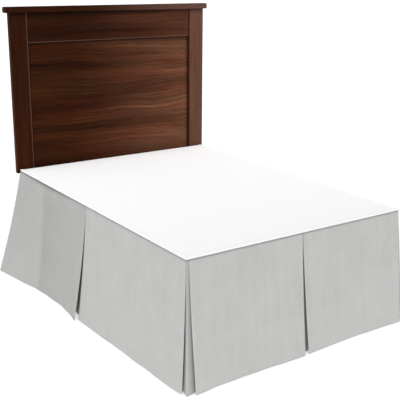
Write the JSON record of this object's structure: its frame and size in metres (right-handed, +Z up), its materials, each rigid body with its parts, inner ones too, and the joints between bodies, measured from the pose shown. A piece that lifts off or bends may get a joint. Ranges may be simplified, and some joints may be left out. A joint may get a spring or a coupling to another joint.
{
  "type": "bed skirt on a bed",
  "caption": "Tailored bed skirt with a white deck cloth and grey drops split at mid-side and foot corners, on a plain wooden bed with a panelled headboard.",
  "frame": {"origin": "on the floor under the middle of the bed, at the foot of the middle leg", "axes": "+Z up, +Y toward the head of the bed, +X toward the bed's right side as seen from the foot end"},
  "size_m": [1.6453, 2.0659, 1.65],
  "materials": {
    "grey_cloth": "plain woven, matt",
    "white_cloth": "plain woven, matt",
    "dark_wood": "dark brown satin lacquer over a long grain",
    "plywood": "bare plywood and sawn softwood",
    "steel": "dark paint"
  },
  "bodies": {
    "root": {"deck": "white_cloth", "left_panel_head": "grey_cloth", "left_panel_foot": "grey_cloth", "foot_panel_left": "grey_cloth", "foot_panel_right": "grey_cloth", "right_panel_foot": "grey_cloth", "right_panel_head": "grey_cloth", "left_pleat_backing": "grey_cloth", "foot_pleat_backing": "grey_cloth", "right_pleat_backing": "grey_cloth", "corner_insert_left": "grey_cloth", "corner_insert_right": "grey_cloth", "side_rail_left": "dark_wood", "side_rail_right": "dark_wood", "foot_rail": "dark_wood", "head_rail": "dark_wood", "leg_foot_left": "dark_wood", "leg_foot_right": "dark_wood", "leg_middle_foot": "dark_wood", "leg_middle": "dark_wood", "leg_middle_head": "dark_wood", "post_left": "dark_wood", "post_right": "dark_wood", "cap": "dark_wood", "top_rail": "dark_wood", "lower_rail": "dark_wood", "panel": "dark_wood", "headboard_leg_right": "dark_wood", "headboard_leg_left": "dark_wood", "bed_board": "plywood", "centre_beam": "plywood", "head_bracket_left": "steel", "head_bracket_right": "steel"}
  },
  "joints": []
}
